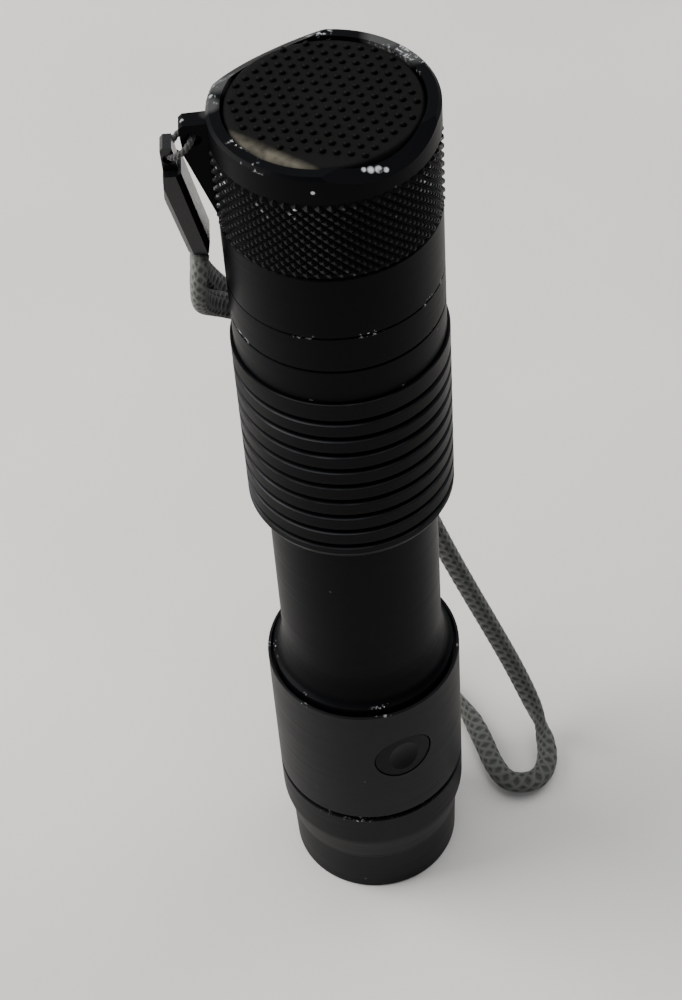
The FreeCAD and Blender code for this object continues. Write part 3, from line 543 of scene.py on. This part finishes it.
# Painted shade: the grooves are coloured darker than the lands.
groove_painted_shade = ramp(tree, reach, 0.0167, 0.01745, 1.0, 0.0)
smudge = speckle(tree, place, 55.0, 4.0)
skin = blend_colours(tree, ramp(tree, smudge, 0.35, 0.7), (0.0012, 0.0013, 0.0016, 1),
                     (0.0024, 0.0025, 0.0030, 1))
# Painted highlight: a thin lighter line along the land edges, broken into patches.
painted_edge_highlight = sum_of(tree, "MULTIPLY", ramp(tree, reach, 0.01722, 0.01740),
                  ramp(tree, reach, 0.01746, 0.017535, 1.0, 0.0))
painted_edge_highlight = sum_of(tree, "MULTIPLY", painted_edge_highlight, ramp(tree, speckle(tree, place, 70.0, 3.0), 0.42, 0.62,
                                                   0.15, 0.85))
skin = blend_colours(tree, painted_edge_highlight, skin, (0.050, 0.052, 0.056, 1))
colour_from(tree, shader, blend_colours(tree, groove_painted_shade, skin, (0.0010, 0.0010, 0.0010, 1)))
gloss_from(tree, shader, ramp(tree, smudge, 0.3, 0.7, 0.36, 0.52))
shader.inputs["Specular IOR Level"].default_value = 0.045
roughen(tree, shader, speckle(tree, place, 2400.0, 4.0), 0.22, 0.00006)
paint("grip_sleeve", grip_rubber)

# ---------------------------------------------------------------- seals
# Plain black rubber rings: the visible line behind the front ring, the rings in the threads and
# the washers under the glass and the pad.
seal_rubber, tree, shader, place = material_of("seal_rubber")
bloom = speckle(tree, place, 260.0, 4.0)
tones(tree, shader, bloom, 0.35, 0.75, (0.006, 0.006, 0.007, 1), (0.020, 0.020, 0.021, 1))
gloss_from(tree, shader, ramp(tree, bloom, 0.3, 0.7, 0.38, 0.6))
roughen(tree, shader, speckle(tree, place, 3000.0), 0.15, 0.00005)
for name in ("bezel_o_ring", "lens_gasket", "head_rear_o_ring", "tailcap_o_ring", "pad_skirt"):
    paint(name, seal_rubber)

# ---------------------------------------------------------------- side button and plain plastics
# The mode button is a dished key in soft-touch plastic; the switch housings are plain mouldings.
button_plastic, tree, shader, place = material_of("soft_touch_key")
film = speckle(tree, place, 240.0, 4.0)
tones(tree, shader, film, 0.3, 0.7, (0.0005, 0.0006, 0.0009, 1), (0.0012, 0.0013, 0.0018, 1))
gloss_from(tree, shader, ramp(tree, film, 0.3, 0.7, 0.28, 0.42))
shader.inputs["Specular IOR Level"].default_value = 0.05
roughen(tree, shader, speckle(tree, place, 4200.0), 0.14, 0.00004)
paint("side_button", button_plastic)
moulded, tree, shader, place = material_of("moulded_black")
flow = speckle(tree, place, 300.0, 4.0, 0.5, (1.0, 1.0, 3.0))
tones(tree, shader, flow, 0.3, 0.7, (0.010, 0.010, 0.011, 1), (0.022, 0.022, 0.023, 1))
gloss_from(tree, shader, ramp(tree, flow, 0.3, 0.7, 0.35, 0.5))
roughen(tree, shader, speckle(tree, place, 3500.0), 0.15, 0.00005)
for name in ("side_tact_switch", "driver_choke", "driver_chip", "tail_switch_housing",
             "tail_switch_plunger"):
    paint(name, moulded)

# ---------------------------------------------------------------- glass and mirror
# Clear coated glass sits in front of a deep polished reflector, which takes its light from one chip
# under a clear dome.
glass, tree, shader, place = material_of("front_glass")
film = speckle(tree, place, 180.0, 3.0)
tones(tree, shader, film, 0.3, 0.7, (0.95, 0.97, 0.98, 1), (0.99, 0.99, 1.0, 1))
gloss_from(tree, shader, ramp(tree, film, 0.45, 0.75, 0.01, 0.07))
shader.inputs["Transmission Weight"].default_value = 1.0
shader.inputs["IOR"].default_value = 1.47
paint("lens", glass)
mirror, tree, shader, place = material_of("vapour_mirror")
ripple = speckle(tree, place, 220.0, 2.0)
tones(tree, shader, ripple, 0.3, 0.7, (0.80, 0.81, 0.82, 1), (0.90, 0.90, 0.90, 1))
gloss_from(tree, shader, ramp(tree, ripple, 0.3, 0.7, 0.05, 0.10))
shader.inputs["Metallic"].default_value = 1.0
roughen(tree, shader, ripple, 0.05, 0.0001)
paint("reflector", mirror)


def plain(name, low, high, gloss, metal, scale=400.0, stretch=None):
    """A finish with cloudy colour, uneven gloss and a fine tooth."""
    made, tree, shader, place = material_of(name)
    cloud = speckle(tree, place, scale, 4.0, 0.55, stretch)
    colour_from(tree, shader, blend_colours(tree, ramp(tree, cloud, 0.3, 0.7), low + (1,), high + (1,)))
    gloss_from(tree, shader, ramp(tree, cloud, 0.3, 0.7, gloss - 0.06, gloss + 0.08))
    shader.inputs["Metallic"].default_value = metal
    roughen(tree, shader, speckle(tree, place, 3000.0), 0.12, 0.00004)
    return made


paint("led_board", plain("white_metal_board", (0.55, 0.56, 0.56), (0.72, 0.72, 0.71), 0.4, 0.2))
paint("led_emitter", plain("chip_coating", (0.70, 0.55, 0.10), (0.82, 0.68, 0.18), 0.5, 0.0, 2500.0))
dome_clear = plain("silicone_dome", (0.92, 0.92, 0.88), (0.98, 0.98, 0.95), 0.10, 0.0)
dome_clear.node_tree.nodes["Principled BSDF"].inputs["Transmission Weight"].default_value = 0.85
paint("led_dome", dome_clear)

# ---------------------------------------------------------------- parts inside
# Machined sink, washers and rings in bare alloy, green boards, plated springs and two plain cells.
bare = plain("bare_machined", (0.42, 0.43, 0.44), (0.60, 0.61, 0.62), 0.30, 1.0, 250.0, (0.3, 0.3, 8.0))
for name in ("heat_sink", "switch_bracket", "pad_washer", "switch_retaining_ring"):
    paint(name, bare)
board = plain("green_board", (0.010, 0.070, 0.030), (0.018, 0.110, 0.048), 0.30, 0.0, 700.0)
for name in ("side_switch_board", "driver_board", "tail_contact_board"):
    paint(name, board)
plated = plain("plated_spring", (0.52, 0.47, 0.36), (0.70, 0.64, 0.50), 0.22, 1.0, 900.0)
for name in ("driver_spring", "tail_switch_spring", "battery_spring"):
    paint(name, plated)
jacket = plain("cell_jacket", (0.060, 0.085, 0.110), (0.085, 0.115, 0.150), 0.32, 0.3, 120.0)
for name in ("cell_front", "cell_rear"):
    paint(name, jacket)
